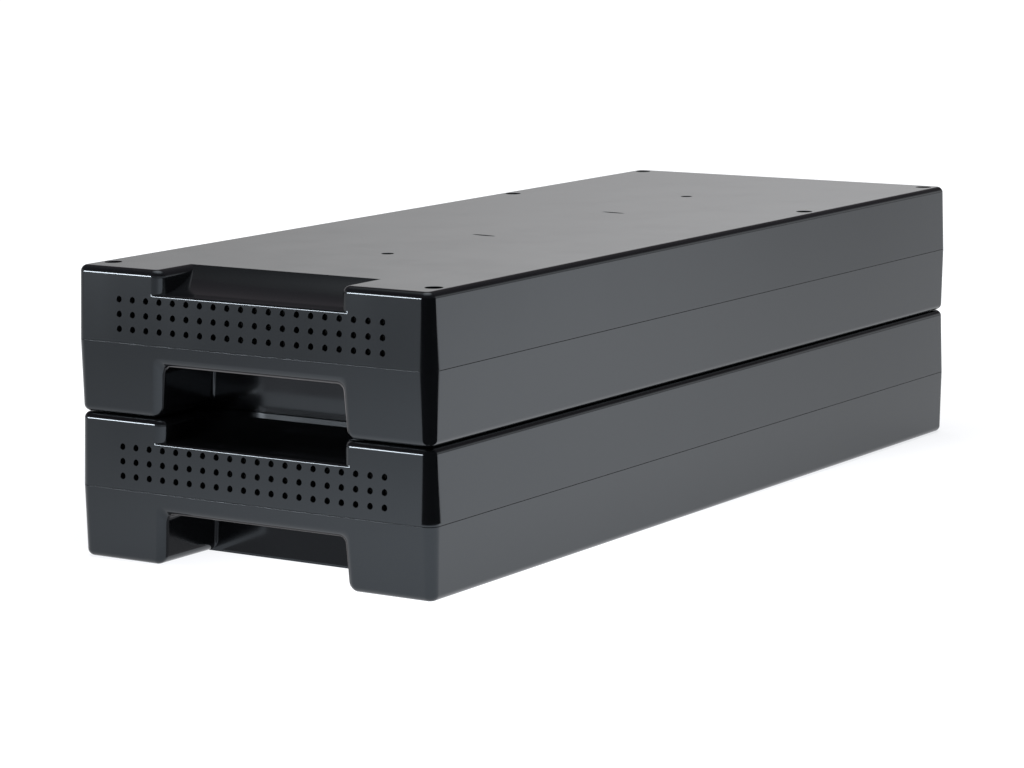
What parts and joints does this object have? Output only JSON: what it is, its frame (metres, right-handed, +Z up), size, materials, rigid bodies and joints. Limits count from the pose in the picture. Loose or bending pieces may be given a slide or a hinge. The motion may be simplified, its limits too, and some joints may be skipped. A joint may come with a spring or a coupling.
{
  "type": "rack battery cartridge pair",
  "caption": "Stack of two long flat sealed battery cartridges in drafted black plastic cases, each with a vented front, a finger scoop above and a handle pocket below.",
  "frame": {"origin": "bottom centre of the stack, on the surface that it stands on", "axes": "+X to the right seen from the handle end, +Y from the handle end towards the connector end, +Z up"},
  "size_m": [0.218, 0.558, 0.1503],
  "materials": {
    "case_plastic": "satin black moulded plastic",
    "block_plastic": "dark grey moulded block case",
    "connector_plastic": "black glass-filled nylon",
    "screw_steel": "zinc plated",
    "contact_metal": "tinned brass",
    "black_sleeve": "insulated wire",
    "red_sleeve": "insulated wire",
    "fuse_ceramic": "ceramic fuse body"
  },
  "bodies": {
    "lower_cartridge": {"lower_bottom_shell": "case_plastic", "lower_top_shell": "case_plastic", "lower_screw_1": "screw_steel", "lower_screw_2": "screw_steel", "lower_screw_3": "screw_steel", "lower_screw_4": "screw_steel", "lower_screw_5": "screw_steel", "lower_screw_6": "screw_steel", "lower_screw_7": "screw_steel", "lower_screw_8": "screw_steel", "lower_battery_block_1": "block_plastic", "lower_battery_block_2": "block_plastic", "lower_battery_block_3": "block_plastic", "lower_battery_block_4": "block_plastic", "lower_battery_block_5": "block_plastic", "lower_battery_block_6": "block_plastic", "lower_battery_block_7": "block_plastic", "lower_battery_block_8": "block_plastic", "lower_jumper_1": "black_sleeve", "lower_jumper_2": "black_sleeve", "lower_jumper_3": "black_sleeve", "lower_jumper_4": "black_sleeve", "lower_jumper_5": "black_sleeve", "lower_jumper_6": "black_sleeve", "lower_fuse_link": "fuse_ceramic", "lower_connector_housing": "connector_plastic", "lower_contact_negative": "contact_metal", "lower_contact_positive": "contact_metal", "lower_lead_negative": "black_sleeve", "lower_lead_positive": "red_sleeve"},
    "upper_cartridge": {"upper_bottom_shell": "case_plastic", "upper_top_shell": "case_plastic", "upper_screw_1": "screw_steel", "upper_screw_2": "screw_steel", "upper_screw_3": "screw_steel", "upper_screw_4": "screw_steel", "upper_screw_5": "screw_steel", "upper_screw_6": "screw_steel", "upper_screw_7": "screw_steel", "upper_screw_8": "screw_steel", "upper_battery_block_1": "block_plastic", "upper_battery_block_2": "block_plastic", "upper_battery_block_3": "block_plastic", "upper_battery_block_4": "block_plastic", "upper_battery_block_5": "block_plastic", "upper_battery_block_6": "block_plastic", "upper_battery_block_7": "block_plastic", "upper_battery_block_8": "block_plastic", "upper_jumper_1": "black_sleeve", "upper_jumper_2": "black_sleeve", "upper_jumper_3": "black_sleeve", "upper_jumper_4": "black_sleeve", "upper_jumper_5": "black_sleeve", "upper_jumper_6": "black_sleeve", "upper_fuse_link": "fuse_ceramic", "upper_connector_housing": "connector_plastic", "upper_contact_negative": "contact_metal", "upper_contact_positive": "contact_metal", "upper_lead_negative": "black_sleeve", "upper_lead_positive": "red_sleeve"}
  },
  "joints": [
    {"name": "upper_lift", "type": "slide", "parent": "lower_cartridge", "child": "upper_cartridge", "axis": [0, 0, 1], "range_m": [0, 0.12]}
  ]
}
